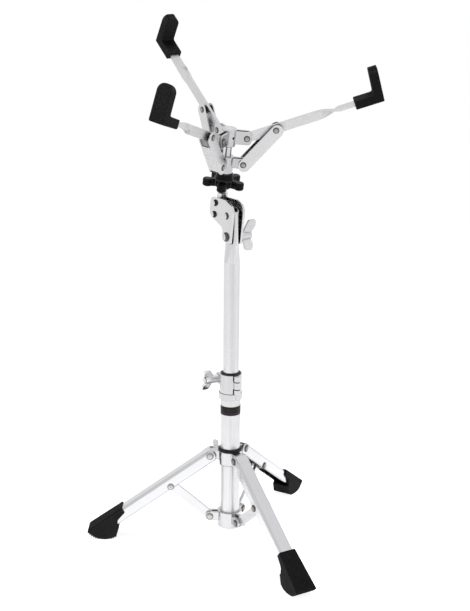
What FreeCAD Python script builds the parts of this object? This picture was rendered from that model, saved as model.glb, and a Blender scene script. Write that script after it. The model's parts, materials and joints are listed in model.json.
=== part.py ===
import FreeCAD, Part
import math
import os

from FreeCAD import Placement, Rotation, Vector

# Snare drum stand: folding tripod, height clamp, tilter and three-armed basket.
# Millimetres and degrees. The tube axis is Z, the floor is Z = 0, and X points to the right-hand side
# of a player's view with the left leg along -X.

# Clearances
fit_clearance = 0.05
running_clearance = 0.3
bush_clearance = 0.05
pivot_clearance = 0.06

# Tubes
lower_tube_diameter = 28.6
lower_tube_wall = 1.6
lower_tube_bottom = 20.8
lower_tube_top = 228.3
upper_tube_diameter = 22.2
upper_tube_wall = 1.5
upper_tube_bottom = 145.3
flattening_length = 26.0
flat_thickness = 9.0
flat_below_pivot = 10.0
flat_reach = 41.0
flat_corner_radius = 11.0
guide_length = 24.0
guide_lip = 2.0
badge_bottom = 195.8
badge_height = 13.2
badge_thickness = 0.15

# Tripod
leg_azimuths = {"left": 180.0, "front": 300.0, "rear": 60.0}
leg_slope = 36.0
leg_pivot_radius = 29.0
collar_pivot_height = 131.9
hub_pivot_height = 34.7
brace_pivot_below_leg_line = 5.8144
leg_width = 21.6
leg_depth = 18.8
leg_sheet = 1.6
leg_bend_radius = 4.4
leg_top_above_pivot = 7.8
leg_end_overhang = 9.0
leg_end_lower_radius = 8.4
leg_end_upper_radius = 7.0
leg_top_wall_start = 8.5
leg_rivet_radius = 3.0
leg_rivet_head_radius = 5.0
leg_rivet_head_height = 2.0
leg_rivet_shoulder_radius = 5.0
brace_width = 13.0
brace_thickness = 4.5

# Collar that slides on the lower tube
collar_radius = 17.0
collar_below_pivot = 13.6
collar_above_pivot = 6.9
collar_bush_wall = 1.0
collar_bush_flange_height = 4.5
collar_bush_flange_radius = 17.4
collar_lug_width = 13.0
collar_lug_radius = 6.5
collar_boss_azimuth = 135.0
collar_boss_radius = 6.0
collar_boss_reach = 22.0
collar_bolt_radius = 3.0
collar_bolt_below_top = 8.0
collar_wing_base_radius = 5.0
collar_wing_base_length = 5.0
collar_wing_hub_radius = 4.0
collar_wing_hub_length = 7.0
collar_wing_span = 26.0
collar_wing_rise = 13.0
collar_wing_thickness = 3.4
collar_wing_turn = 25.0

# Lower hub, fixed at the foot of the lower tube
hub_radius = 17.8
hub_below_pivot = 14.4
hub_above_pivot = 9.1
hub_lug_radius = 6.5
hub_lug_plate = 4.0

# Rubber feet
foot_mouth_width = 26.0
foot_tip_width = 32.0
foot_wall_over_leg = 1.7
sole_radius = 31.5
sole_teeth_towards_tip = 8
sole_teeth_towards_heel = 5
sole_tooth_pitch = 3.4
sole_tooth_depth = 1.1
sole_tooth_land = 1.9
foot_sleeve_length = 30.0
foot_sleeve_end_depth = 9.0
foot_notch_reach = 8.4
foot_notch_curve_reach = 6.0
foot_notch_curve_depth = 3.6
foot_notch_radius = 11.0
foot_heel_overhang = 9.8
foot_heel_height = 23.0
foot_heel_radius = 1.5
foot_tip_radius = 1.2
foot_edge_radius = 2.5
leg_length_in_foot = 12.5

# Height clamp
clamp_hinge_azimuth = -60.0
clamp_socket_height = 9.0
clamp_socket_wall = 2.6
clamp_height = 28.0
clamp_wall = 3.0
clamp_gap = 1.2
clamp_bush_wall = 1.8
clamp_bush_flange_height = 2.4
clamp_bush_flange_lip = 1.7
clamp_bush_slit = 1.4
clamp_hinge_radius = 18.0
clamp_knuckle_radius = 4.5
clamp_knuckle_height = 11.2
clamp_knuckle_gap = 1.4
clamp_knuckle_clearance = 1.2
clamp_pin_radius = 2.0
clamp_ear_reach = 30.0
clamp_ear_thickness = 7.0
clamp_ear_height = 17.0
clamp_ear_corner_radius = 5.0
clamp_bolt_offset = 24.0
clamp_bolt_radius = 4.0
clamp_bolt_head_radius = 6.5
clamp_bolt_head_height = 5.0
clamp_bolt_head_chamfer = 1.0
clamp_bolt_end = 30.0
clamp_nut_bore_clearance = 0.6
clamp_ear_hole_clearance = 0.5
clamp_wing_base_radius = 6.2
clamp_wing_base_length = 11.0
clamp_wing_hub_radius = 5.4
clamp_wing_hub_length = 10.0
clamp_wing_span = 33.0
clamp_wing_rise = 17.0
clamp_wing_thickness = 4.0
clamp_wing_turn = 75.0

# Tilter
tilter_azimuth = 25.2
tilter_pivot_height = 455.3
tilt_at_rest = 13.25
cheek_thickness = 3.0
cheek_front = 14.0
cheek_front_at_top = 11.5
cheek_back = 12.5
cheek_bottom = 8.5
cheek_bottom_radius = 7.0
cheek_top = 48.5
cheek_top_end = 14.0
cheek_top_radius = 11.0
cheek_arm_bottom = 7.5
cheek_arm_end = 60.0
cheek_arm_shoulder = 35.0
cheek_arm_radius = 9.0
cheek_waist_radius = 8.0
washer_radius = 8.0
washer_thickness = 1.8
tilter_bolt_radius = 4.0
tilter_bolt_head_radius = 6.2
tilter_bolt_head_height = 5.0
tilter_bolt_end = 28.5
tilter_wing_base_radius = 7.0
tilter_wing_base_length = 8.0
tilter_wing_hub_radius = 5.6
tilter_wing_hub_length = 10.0
tilter_wing_span = 48.0
tilter_wing_rise = 18.0
tilter_wing_thickness = 4.4
stop_pin_radius = 3.0
stop_pin_reach = 29.5
stop_pin_angle = 11.3
stop_pin_head_radius = 4.6
stop_pin_head_height = 3.0
slot_clearance = 0.4
slot_half_angle = 18.6
stem_rivet_radius = 2.6
stem_rivet_head_radius = 4.4
stem_rivet_head_height = 3.8
stem_rivet_heights = (14.6, 32.0)

# Basket, in the level pose of the tilter, measured from the tilter pivot
stem_offset = 44.0
stem_radius = 6.0
stem_foot_radius = 7.2
stem_foot_bottom = 9.5
stem_flat_top = 43.0
arm_turn = -22.6
arm_pivot_radius = 24.4
arm_elevation = 24.0
arm_width = 13.0
arm_thickness = 4.0
arm_link_distance = 41.2
arm_twist_start = 100.0
arm_twist_length = 30.0
arm_twist_steps = 6
arm_length = 184.0
upper_hub_radius = 10.0
upper_hub_above_pivot = 11.4
upper_hub_below_pivot = 13.0
upper_lug_plate = 2.6
upper_lug_half_height = 9.0
upper_lug_overhang = 6.5
upper_lug_corner_radius = 5.5
hub_edge_radius = 1.0
set_screw_radius = 1.9
set_screw_azimuth = -75.0
set_screw_recess = 1.2
arm_rivet_radius = 2.5
arm_rivet_head_radius = 3.9
arm_rivet_head_height = 1.5
hub_drop = 37.0
lower_pivot_radius = 23.2
lower_hub_radius = 10.0
lower_hub_above_pivot = 9.0
lower_hub_below_pivot = 15.5
lower_hub_bore_clearance = 0.1
lower_lug_inner = 2.4
lower_lug_plate = 3.0
lower_lug_radius = 6.5
lower_lug_hole_radius = 3.5
link_width = 17.0
link_offset = 2.0
link_across = 16.0
link_sheet = 1.6
link_web_start = 11.0
link_web_end_gap = 2.0
spacer_radius = 5.4
nut_above_stem_foot = 6.1
nut_gap = 0.3
nut_boss_top_radius = 11.0
nut_boss_radius = 13.0
nut_boss_height = 9.0
nut_lobe_count = 5
nut_lobe_reach = 23.2
nut_lobe_radius = 6.7
nut_lobe_neck = 10.4
nut_lobe_height = 10.5
nut_lobe_turn = 22.0
nut_core_radius = 14.0
nut_skirt_radius = 9.0
nut_skirt_height = 3.0
nut_edge_radius = 2.0
grip_sleeve_length = 39.0
grip_end_wall = 7.0
grip_width = 20.8
grip_finger_thickness = 12.0
grip_sleeve_half_height = 6.1
grip_finger_top = 42.5
grip_finger_lean = 2.0
grip_top_radius = 10.2
grip_corner_radius = 2.0
grip_inner_radius = 3.0

# Sizes worked out from the values above
lower_tube_radius = lower_tube_diameter / 2
lower_tube_bore = lower_tube_radius - lower_tube_wall
upper_tube_radius = upper_tube_diameter / 2
flat_start = tilter_pivot_height - flat_below_pivot
flattening_start = flat_start - flattening_length
flat_width = (math.pi * upper_tube_diameter - math.pi * flat_thickness) / 2 + flat_thickness
brace_pivot_height = (collar_pivot_height + hub_pivot_height) / 2
slope = math.radians(leg_slope)
leg_line_drop = collar_pivot_height - brace_pivot_height - brace_pivot_below_leg_line / math.cos(slope)
brace_pivot_radius = leg_pivot_radius + leg_line_drop / math.tan(slope)
clamp_bottom = lower_tube_top
clamp_top = clamp_bottom + clamp_height
clamp_middle = clamp_bottom + clamp_height / 2
clamp_bush_bore = upper_tube_radius + bush_clearance
clamp_bore = clamp_bush_bore + clamp_bush_wall + fit_clearance
clamp_radius = clamp_bore + clamp_wall
cheek_inner = flat_thickness / 2 + washer_thickness + fit_clearance
cheek_outer = cheek_inner + cheek_thickness
stem_foot_top = cheek_top
nut_bottom = stem_foot_top + nut_above_stem_foot
nut_top = nut_bottom + nut_skirt_height + nut_lobe_height + nut_boss_height
lower_pivot_height = nut_top + nut_gap + lower_hub_below_pivot
arm_pivot_height = lower_pivot_height + hub_drop
grip_outer_face = arm_length + grip_end_wall
grip_sleeve_start = grip_outer_face - grip_sleeve_length
far = 200.0


def rounded_wire(points):
    """Closed wire through (x, y, radius) corners in the XY plane, each corner rounded to its radius."""
    count = len(points)
    starts = []
    ends = []
    middles = []
    for index in range(count):
        corner = Vector(points[index][0], points[index][1], 0)
        radius = points[index][2]
        before = Vector(points[index - 1][0], points[index - 1][1], 0) - corner
        after = Vector(points[(index + 1) % count][0], points[(index + 1) % count][1], 0) - corner
        if radius == 0:
            starts.append(corner)
            ends.append(corner)
            middles.append(None)
            continue
        before.normalize()
        after.normalize()
        half = before.getAngle(after) / 2
        reach = radius / math.tan(half)
        bisector = before + after
        bisector.normalize()
        centre = corner + bisector * (radius / math.sin(half))
        starts.append(corner + before * reach)
        ends.append(corner + after * reach)
        middles.append(centre - bisector * radius)
    edges = []
    for index in range(count):
        if middles[index] is not None:
            edges.append(Part.Arc(starts[index], middles[index], ends[index]).toShape())
        following = starts[(index + 1) % count]
        if ends[index].distanceToPoint(following) > 1e-6:
            edges.append(Part.LineSegment(ends[index], following).toShape())
    return Part.Wire(edges)


def outward(solid):
    """The solid with its faces turned outwards, whichever way round its outline was drawn."""
    if solid.Volume < 0:
        solid.reverse()
    return solid


def side_prism(wire, width, middle=0.0):
    """Solid of a wire drawn in XZ, with its width along Y about a middle plane."""
    solid = outward(Part.Face(wire).extrude(Vector(0, 0, width)))
    solid.translate(Vector(0, 0, -width / 2))
    solid.rotate(Vector(0, 0, 0), Vector(1, 0, 0), 90)
    solid.translate(Vector(0, middle, 0))
    return solid


def plate_prism(wire, low, thickness):
    """Solid of a wire drawn in YZ, with its thickness along X from X = low."""
    solid = outward(Part.Face(wire).extrude(Vector(0, 0, thickness)))
    solid.rotate(Vector(0, 0, 0), Vector(1, 1, 1), 120)
    solid.translate(Vector(low, 0, 0))
    return solid


def block(low, high):
    """Box between two corners."""
    return Part.makeBox(high[0] - low[0], high[1] - low[1], high[2] - low[2], Vector(*low))


def disc(radius, bottom, height):
    """Cylinder about Z."""
    return Part.makeCylinder(radius, height, Vector(0, 0, bottom))


def cross_pin(radius, half_length, x=0.0, z=0.0):
    """Cylinder along Y, centred on Y = 0."""
    return Part.makeCylinder(radius, 2 * half_length, Vector(x, -half_length, z), Vector(0, 1, 0))


def revolve_wire(wire):
    """Solid turned about Z from a closed wire in XZ."""
    return outward(Part.Face(wire).revolve(Vector(0, 0, 0), Vector(0, 0, 1), 360))


def revolve_profile(points):
    """Solid turned about Z from (radius, height) points."""
    corners = [Vector(radius, 0, height) for radius, height in points]
    return revolve_wire(Part.makePolygon(corners + corners[:1]))


def stadium(length, width):
    """Wire of a strip with full round ends about X = 0 and X = length."""
    half = width / 2
    return rounded_wire([
        (-half, -half, half * 0.999),
        (length + half, -half, half * 0.999),
        (length + half, half, half * 0.999),
        (-half, half, half * 0.999),
    ])


def domed_head(radius, height):
    """Rivet head on Z = 0, domed upwards."""
    rim = height * 0.3
    centre = (height ** 2 - rim ** 2 - radius ** 2) / (2 * (height - rim))
    dome_radius = height - centre
    half_turn = math.asin(radius / dome_radius) / 2
    crown = Vector(0, 0, height)
    shoulder = Vector(dome_radius * math.sin(half_turn), 0, centre + dome_radius * math.cos(half_turn))
    edge = Vector(radius, 0, rim)
    profile = Part.Wire([
        Part.LineSegment(Vector(0, 0, 0), Vector(radius, 0, 0)).toShape(),
        Part.LineSegment(Vector(radius, 0, 0), edge).toShape(),
        Part.Arc(edge, shoulder, crown).toShape(),
        Part.LineSegment(crown, Vector(0, 0, 0)).toShape(),
    ])
    return revolve_wire(profile)


def cross_rivet(shank_radius, half_grip, head_radius, head_height):
    """Rivet along Y with a domed head at each end of its grip."""
    shank = disc(shank_radius, -half_grip, 2 * half_grip)
    top = domed_head(head_radius, head_height)
    top.translate(Vector(0, 0, half_grip))
    bottom = top.copy()
    bottom.rotate(Vector(0, 0, 0), Vector(1, 0, 0), 180)
    rivet = shank.fuse([top, bottom]).removeSplitter()
    rivet.rotate(Vector(0, 0, 0), Vector(1, 0, 0), 90)
    return rivet


def wing_profile(span, rise, root_radius, foot):
    """Outline of a pair of wings in XZ, rising from the height foot."""
    half = span / 2
    return rounded_wire([
        (-root_radius, foot, 0.8),
        (root_radius, foot, 0.8),
        (half * 0.94, foot + rise * 0.34, rise * 0.20),
        (half, foot + rise, rise * 0.22),
        (half * 0.62, foot + rise, rise * 0.20),
        (root_radius * 0.8, foot + rise * 0.72, rise * 0.10),
        (-root_radius * 0.8, foot + rise * 0.72, rise * 0.10),
        (-half * 0.62, foot + rise, rise * 0.20),
        (-half, foot + rise, rise * 0.22),
        (-half * 0.94, foot + rise * 0.34, rise * 0.20),
    ])


def wing_handle(base_radius, base_length, hub_top_radius, hub_length, span, rise, thickness):
    """Wing nut body about Z: round base, tapered hub and two wings along X."""
    body = revolve_profile([
        (0, 0),
        (base_radius, 0),
        (base_radius, base_length),
        (hub_top_radius, base_length + hub_length),
        (0, base_length + hub_length),
    ])
    wings = side_prism(wing_profile(span, rise, hub_top_radius, base_length * 0.75), thickness)
    rounded_edges = [edge for edge in wings.Edges if edge.Length > thickness * 1.01]
    wings = wings.makeFillet(thickness * 0.3, rounded_edges)
    return body.fuse(wings).removeSplitter()


def leg_side(shape, azimuth):
    """Turn a shape drawn with X pointing outwards to one leg's azimuth."""
    turned = shape.copy()
    turned.rotate(Vector(0, 0, 0), Vector(0, 0, 1), azimuth)
    return turned


def on_leg(shape):
    """Place a shape drawn along the leg, with its collar pivot at the origin."""
    placed = shape.copy()
    placed.rotate(Vector(0, 0, 0), Vector(0, 1, 0), leg_slope)
    placed.translate(Vector(leg_pivot_radius, 0, collar_pivot_height))
    return placed


def leg_place(radius, height):
    """Position of a point at a radius and height, along and above the leg line."""
    out = radius - leg_pivot_radius
    up = height - collar_pivot_height
    along = out * math.cos(slope) - up * math.sin(slope)
    above = out * math.sin(slope) + up * math.cos(slope)
    return along, above


# The sole's lowest tooth stands flat on the floor
tooth_half_angle = sole_tooth_land / sole_radius / 2
sole_centre_above = leg_top_above_pivot + foot_wall_over_leg
sole_drop = sole_radius * math.cos(tooth_half_angle)
sole_centre_along = (collar_pivot_height + sole_centre_above * math.cos(slope) - sole_drop) / math.sin(slope)
leg_end = sole_centre_along + leg_length_in_foot
brace_along, brace_above = leg_place(brace_pivot_radius, brace_pivot_height)


def make_leg():
    """Pressed channel, open below, with its top wall cut back at the collar."""
    top = leg_top_above_pivot
    bottom = top - leg_depth
    inner = leg_width / 2 - leg_sheet
    outline = rounded_wire([
        (-leg_end_overhang, bottom, leg_end_lower_radius),
        (leg_end, bottom, 0),
        (leg_end, top, 0),
        (-leg_end_overhang, top, leg_end_upper_radius),
    ])
    leg = side_prism(outline, leg_width)
    bends = [
        edge for edge in leg.Edges
        if abs(edge.CenterOfMass.z - top) < 0.01 and edge.BoundBox.XLength > leg_end / 2
    ]
    leg = leg.makeFillet(leg_bend_radius, bends)
    channel = rounded_wire([
        (-inner, bottom - far, 0),
        (inner, bottom - far, 0),
        (inner, top - leg_sheet, leg_bend_radius - leg_sheet),
        (-inner, top - leg_sheet, leg_bend_radius - leg_sheet),
    ])
    leg = leg.cut(plate_prism(channel, -far, leg_end + 2 * far))
    leg = leg.cut(block((-far, -inner, bottom - 1), (leg_top_wall_start, inner, top + 1)))
    leg = leg.cut(cross_pin(leg_rivet_radius + pivot_clearance, leg_width))
    leg = leg.cut(cross_pin(leg_rivet_radius + fit_clearance, leg_width, brace_along, brace_above))
    return on_leg(leg)


def make_leg_rivet():
    """Shouldered rivet that holds the brace in the middle of the channel."""
    half = leg_width / 2
    rivet = cross_rivet(leg_rivet_radius, half, leg_rivet_head_radius, leg_rivet_head_height)
    inner = leg_width / 2 - leg_sheet - fit_clearance
    brace_half = brace_thickness / 2 + running_clearance
    for side in (-1, 1):
        middle = side * (inner + brace_half) / 2
        shoulder = cross_pin(leg_rivet_shoulder_radius, (inner - brace_half) / 2)
        shoulder.translate(Vector(0, middle, 0))
        rivet = rivet.fuse(shoulder)
    rivet = rivet.removeSplitter()
    rivet.translate(Vector(brace_along, 0, brace_above))
    return on_leg(rivet)


def make_brace():
    """Flat strip on edge from the lower hub to the middle of the leg."""
    out = brace_pivot_radius - leg_pivot_radius
    up = brace_pivot_height - hub_pivot_height
    length = math.hypot(out, up)
    brace = side_prism(stadium(length, brace_width), brace_thickness)
    brace = brace.cut(cross_pin(leg_rivet_radius + pivot_clearance, brace_thickness))
    brace = brace.cut(cross_pin(leg_rivet_radius + pivot_clearance, brace_thickness, length))
    brace.rotate(Vector(0, 0, 0), Vector(0, 1, 0), -math.degrees(math.atan2(up, out)))
    brace.translate(Vector(leg_pivot_radius, 0, hub_pivot_height))
    return brace


def sole_point(angle, radius):
    """Point of the sole, with its angle counted from straight down towards the tip."""
    turn = angle - (math.pi / 2 - slope)
    return radius * math.cos(turn), radius * math.sin(turn)


def sole_corners():
    """Corners of the toothed sole from the tip to the heel."""
    pitch = sole_tooth_pitch / sole_radius
    corners = []
    for tooth in range(sole_teeth_towards_tip, -sole_teeth_towards_heel - 1, -1):
        middle = tooth * pitch
        corners.append(sole_point(middle + tooth_half_angle, sole_radius))
        corners.append(sole_point(middle - tooth_half_angle, sole_radius))
        if tooth > -sole_teeth_towards_heel:
            corners.append(sole_point(middle - pitch / 2, sole_radius - sole_tooth_depth))
    return corners


def foot_section(along, width):
    """Outline across the foot, with rounded upper edges."""
    half = width / 2
    section = rounded_wire([
        (-half, -2 * sole_radius, 0),
        (half, -2 * sole_radius, 0),
        (half, 0, foot_edge_radius),
        (-half, 0, foot_edge_radius),
    ])
    section.rotate(Vector(0, 0, 0), Vector(1, 1, 1), 120)
    section.translate(Vector(along, 0, 0))
    return section


def make_foot():
    """Rubber boot: sleeve over the leg end, quarter-round toothed sole and a cut-away side."""
    tip = (sole_radius, 0, foot_tip_radius)
    points = [(-foot_sleeve_length, 0, 0), tip]
    points += [(x, z, 0) for x, z in sole_corners()]
    points += [
        (-foot_heel_overhang, -foot_heel_height, foot_heel_radius),
        (-foot_notch_reach, leg_top_above_pivot - leg_depth - sole_centre_above, 0),
        (-foot_notch_reach - foot_notch_curve_reach, -foot_sleeve_end_depth - foot_notch_curve_depth,
         foot_notch_radius),
        (-foot_sleeve_length, -foot_sleeve_end_depth, 0),
    ]
    flare = outward(Part.makeLoft([foot_section(-foot_sleeve_length, foot_mouth_width),
                                   foot_section(sole_radius, foot_tip_width)], True, True))
    foot = side_prism(rounded_wire(points), 2 * foot_tip_width).common(flare)
    foot.translate(Vector(sole_centre_along, 0, sole_centre_above))
    half = leg_width / 2 + fit_clearance
    top = leg_top_above_pivot + fit_clearance
    socket = block((0, -half, top - leg_depth - 2 * fit_clearance), (leg_end + fit_clearance, half, top))
    return on_leg(foot.cut(socket))


def make_collar():
    """Ring with three leg lugs and a boss for its wing bolt."""
    bottom = collar_pivot_height - collar_below_pivot
    top = collar_pivot_height + collar_above_pivot
    ring = disc(collar_radius, bottom, top - bottom)
    lug_wire = rounded_wire([
        (0, -collar_lug_radius, 0),
        (leg_pivot_radius + collar_lug_radius, -collar_lug_radius, collar_lug_radius * 0.999),
        (leg_pivot_radius + collar_lug_radius, collar_lug_radius, collar_lug_radius * 0.999),
        (0, collar_lug_radius, 0),
    ])
    lug = side_prism(lug_wire, collar_lug_width)
    lug.translate(Vector(0, 0, collar_pivot_height))
    lug = lug.cut(cross_pin(leg_rivet_radius + fit_clearance, leg_width, leg_pivot_radius,
                            collar_pivot_height))
    collar = ring.fuse([leg_side(lug, azimuth) for azimuth in leg_azimuths.values()])
    boss = Part.makeCylinder(collar_boss_radius, collar_boss_reach, Vector(0, 0, 0), Vector(1, 0, 0))
    boss.translate(Vector(0, 0, top - collar_bolt_below_top))
    collar = collar.fuse(leg_side(boss, collar_boss_azimuth))
    bore = lower_tube_radius + running_clearance + collar_bush_wall + fit_clearance
    collar = collar.cut(disc(bore, bottom - far, 2 * far))
    hole = Part.makeCylinder(collar_bolt_radius + pivot_clearance, far, Vector(0, 0, 0), Vector(1, 0, 0))
    hole.translate(Vector(0, 0, top - collar_bolt_below_top))
    return collar.cut(leg_side(hole, collar_boss_azimuth)).removeSplitter()


def make_collar_bush():
    """Nylon sleeve inside the collar, with a flange on top."""
    bottom = collar_pivot_height - collar_below_pivot
    top = collar_pivot_height + collar_above_pivot
    bore = lower_tube_radius + running_clearance
    outer = bore + collar_bush_wall
    bush = revolve_profile([
        (bore, bottom),
        (outer, bottom),
        (outer, top),
        (collar_bush_flange_radius, top),
        (collar_bush_flange_radius, top + collar_bush_flange_height * 0.6),
        (collar_bush_flange_radius - collar_bush_flange_height * 0.4, top + collar_bush_flange_height),
        (bore, top + collar_bush_flange_height),
    ])
    hole = Part.makeCylinder(collar_bolt_radius + pivot_clearance, far, Vector(0, 0, 0), Vector(1, 0, 0))
    hole.translate(Vector(0, 0, top - collar_bolt_below_top))
    return bush.cut(leg_side(hole, collar_boss_azimuth))


def make_collar_wing_bolt():
    """Wing bolt that locks the collar on the tube."""
    tip = lower_tube_radius + running_clearance
    seat = collar_boss_reach + running_clearance
    shank = disc(collar_bolt_radius, tip, seat - tip + 2)
    handle = wing_handle(collar_wing_base_radius, collar_wing_base_length, collar_wing_hub_radius,
                         collar_wing_hub_length, collar_wing_span, collar_wing_rise, collar_wing_thickness)
    handle.translate(Vector(0, 0, seat))
    bolt = shank.fuse(handle).removeSplitter()
    bolt.rotate(Vector(0, 0, 0), Vector(0, 0, 1), collar_wing_turn)
    bolt.rotate(Vector(0, 0, 0), Vector(0, 1, 0), 90)
    bolt.translate(Vector(0, 0, collar_pivot_height + collar_above_pivot - collar_bolt_below_top))
    return leg_side(bolt, collar_boss_azimuth)


def make_collar_rivets():
    """Pivots of the three legs, through the collar's lugs."""
    rivet = cross_rivet(leg_rivet_radius, leg_width / 2 + fit_clearance, leg_rivet_head_radius,
                        leg_rivet_head_height)
    rivet.translate(Vector(leg_pivot_radius, 0, collar_pivot_height))
    return Part.makeCompound([leg_side(rivet, azimuth) for azimuth in leg_azimuths.values()])


def make_lower_hub():
    """Ring at the foot of the tube with a forked lug for each brace."""
    bottom = hub_pivot_height - hub_below_pivot
    top = hub_pivot_height + hub_above_pivot
    ring = disc(hub_radius, bottom, top - bottom)
    slot_half = brace_thickness / 2 + running_clearance
    reach = leg_pivot_radius + hub_lug_radius
    lug_wire = rounded_wire([
        (0, -hub_lug_radius, 0),
        (reach, -hub_lug_radius, hub_lug_radius * 0.999),
        (reach, hub_lug_radius, hub_lug_radius * 0.999),
        (0, hub_lug_radius, 0),
    ])
    fork = side_prism(lug_wire, 2 * (slot_half + hub_lug_plate))
    fork = fork.cut(cross_pin(leg_rivet_radius + fit_clearance, far, leg_pivot_radius))
    fork.translate(Vector(0, 0, hub_pivot_height))
    slot = block((hub_radius, -slot_half, bottom - 1), (far, slot_half, top + far))
    lug = fork.cut(slot)
    hub = ring.fuse([leg_side(lug, azimuth) for azimuth in leg_azimuths.values()])
    return hub.cut(disc(lower_tube_radius + fit_clearance, bottom - 1, 2 * far)).removeSplitter()


def make_hub_rivets():
    """Pivots of the three braces, through the lower hub's lugs."""
    half = brace_thickness / 2 + running_clearance + hub_lug_plate + fit_clearance
    rivet = cross_rivet(leg_rivet_radius, half, leg_rivet_head_radius, leg_rivet_head_height)
    rivet.translate(Vector(leg_pivot_radius, 0, hub_pivot_height))
    return Part.makeCompound([leg_side(rivet, azimuth) for azimuth in leg_azimuths.values()])


def make_lower_tube():
    """Lower tube, open at both ends."""
    length = lower_tube_top - lower_tube_bottom
    tube = disc(lower_tube_radius, lower_tube_bottom, length)
    return tube.cut(disc(lower_tube_bore, lower_tube_bottom - 1, length + 2))


def make_badge_band():
    """Plain dark band round the lower tube."""
    inner = lower_tube_radius + fit_clearance
    band = disc(inner + badge_thickness, badge_bottom, badge_height)
    return band.cut(disc(inner, badge_bottom - 1, badge_height + 2))


def on_clamp(shape):
    """Turn a shape drawn with X towards the clamp's hinge and Y towards its fixed half."""
    return leg_side(shape, clamp_hinge_azimuth)


def clamp_half(side):
    """Half of the clamp's shell with its ear, on the fixed side (+1) or the jaw's side (-1)."""
    shell = disc(clamp_radius, clamp_bottom, clamp_height)
    ear_wire = rounded_wire([
        (-clamp_ear_reach, clamp_middle - clamp_ear_height / 2, clamp_ear_corner_radius),
        (0, clamp_middle - clamp_ear_height / 2, 0),
        (0, clamp_middle + clamp_ear_height / 2, 0),
        (-clamp_ear_reach, clamp_middle + clamp_ear_height / 2, clamp_ear_corner_radius),
    ])
    thickness = clamp_ear_thickness + clamp_gap / 2
    ear = side_prism(ear_wire, thickness, side * thickness / 2)
    half = shell.fuse(ear)
    near = side * clamp_gap / 2
    low, high = sorted((near, near + side * far))
    half = half.common(block((-far, low, clamp_bottom), (far, high, clamp_top)))
    hole = cross_pin(clamp_bolt_radius + clamp_ear_hole_clearance, far, -clamp_bolt_offset, clamp_middle)
    return half.cut(hole)


def clamp_knuckle(bottom, top, side):
    """Hinge knuckle with a web into one half of the shell."""
    knuckle = disc(clamp_knuckle_radius, bottom, top - bottom)
    knuckle.translate(Vector(clamp_hinge_radius, 0, 0))
    low, high = sorted((0.0, side * clamp_knuckle_radius))
    web = block((clamp_bore, low, bottom), (clamp_hinge_radius, high, top))
    return knuckle.fuse(web)


def knuckle_space(bottom, top):
    """Room that the other half's knuckle turns in."""
    space = disc(clamp_knuckle_radius + clamp_knuckle_clearance, bottom - clamp_knuckle_gap / 2,
                 top - bottom + clamp_knuckle_gap)
    space.translate(Vector(clamp_hinge_radius, 0, 0))
    return space


knuckle_low = clamp_middle - clamp_knuckle_height / 2
knuckle_high = clamp_middle + clamp_knuckle_height / 2


def make_clamp_body():
    """Socket on the lower tube, fixed half of the clamp, two hinge knuckles and one ear."""
    socket_bottom = clamp_bottom - clamp_socket_height
    socket_radius = lower_tube_radius + fit_clearance + clamp_socket_wall
    body = clamp_half(1)
    body = body.cut(knuckle_space(knuckle_low, knuckle_high))
    low_top = knuckle_low - clamp_knuckle_gap / 2
    high_bottom = knuckle_high + clamp_knuckle_gap / 2
    body = body.fuse([
        clamp_knuckle(clamp_bottom, low_top, 1),
        clamp_knuckle(high_bottom, clamp_top, 1),
    ])
    floor = disc(socket_radius, clamp_bottom - running_clearance, running_clearance)
    socket = disc(socket_radius, socket_bottom, clamp_socket_height)
    socket = socket.cut(disc(lower_tube_radius + fit_clearance, socket_bottom - 1, far))
    body = body.fuse([socket, floor])
    body = body.cut(disc(clamp_bore, clamp_bottom - 1, far))
    body = body.cut(disc(lower_tube_radius + fit_clearance, socket_bottom - 1,
                         clamp_socket_height + 1))
    pin_hole = disc(clamp_pin_radius + fit_clearance, clamp_bottom - far, 2 * far)
    pin_hole.translate(Vector(clamp_hinge_radius, 0, 0))
    return on_clamp(body.cut(pin_hole)).removeSplitter()


def make_clamp_jaw():
    """Swinging half of the clamp with the middle knuckle and an ear."""
    jaw = clamp_half(-1)
    lift = running_clearance
    jaw = jaw.cut(block((-far, -far, clamp_bottom - 1), (far, far, clamp_bottom + lift)))
    jaw = jaw.cut(knuckle_space(clamp_bottom - 1, knuckle_low - clamp_knuckle_gap / 2))
    jaw = jaw.cut(knuckle_space(knuckle_high + clamp_knuckle_gap / 2, clamp_top + 1))
    jaw = jaw.fuse(clamp_knuckle(knuckle_low + clamp_knuckle_gap / 2, knuckle_high - clamp_knuckle_gap / 2,
                                 -1))
    jaw = jaw.cut(disc(clamp_bore, clamp_bottom - 1, far))
    pin_hole = disc(clamp_pin_radius + pivot_clearance, clamp_bottom - far, 2 * far)
    pin_hole.translate(Vector(clamp_hinge_radius, 0, 0))
    return on_clamp(jaw.cut(pin_hole)).removeSplitter()


def make_clamp_hinge_pin():
    """Upright pin through the clamp's knuckles."""
    pin = disc(clamp_pin_radius, clamp_bottom, clamp_height)
    pin.translate(Vector(clamp_hinge_radius, 0, 0))
    return on_clamp(pin)


def make_clamp_bolt():
    """Bolt through both ears, with its head against the fixed one."""
    head_seat = clamp_gap / 2 + clamp_ear_thickness
    bolt = disc(clamp_bolt_radius, -head_seat, head_seat + clamp_bolt_end)
    head_end = -head_seat - clamp_bolt_head_height
    head = revolve_profile([
        (0, head_end),
        (clamp_bolt_head_radius - clamp_bolt_head_chamfer, head_end),
        (clamp_bolt_head_radius, head_end + clamp_bolt_head_chamfer),
        (clamp_bolt_head_radius, -head_seat),
        (0, -head_seat),
    ])
    bolt = bolt.fuse(head).removeSplitter()
    bolt.rotate(Vector(0, 0, 0), Vector(1, 0, 0), 90)
    bolt.translate(Vector(-clamp_bolt_offset, 0, clamp_middle))
    return on_clamp(bolt)


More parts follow.
